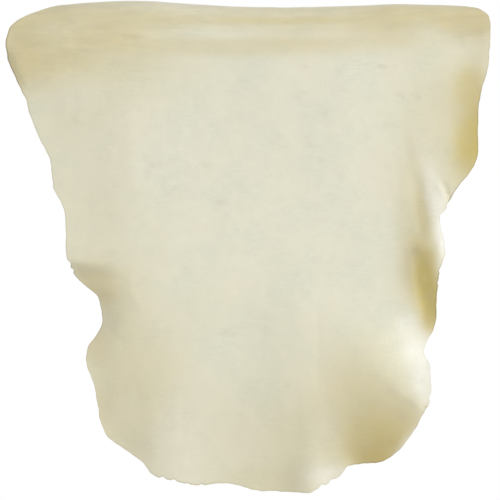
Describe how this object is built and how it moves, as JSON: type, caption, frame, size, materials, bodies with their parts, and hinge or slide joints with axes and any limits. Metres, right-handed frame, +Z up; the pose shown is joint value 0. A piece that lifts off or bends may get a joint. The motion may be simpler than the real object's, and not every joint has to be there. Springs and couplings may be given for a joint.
{
  "type": "sheepskin leather",
  "caption": "Whole dehaired sheepskin leather, soft and cream, with an uneven natural outline, hanging folded over an unseen rail.",
  "frame": {"origin": "where the crown of the rail meets the inside of the fold, in the middle of the skin's width", "axes": "+Z up, front of the skin faces -Y, +X to the viewer's right"},
  "size_m": [0.7005, 0.1085, 0.7151],
  "materials": {
    "sheepskin_leather": "matte"
  },
  "bodies": {
    "root": {"sheepskin": "sheepskin_leather"}
  },
  "joints": []
}
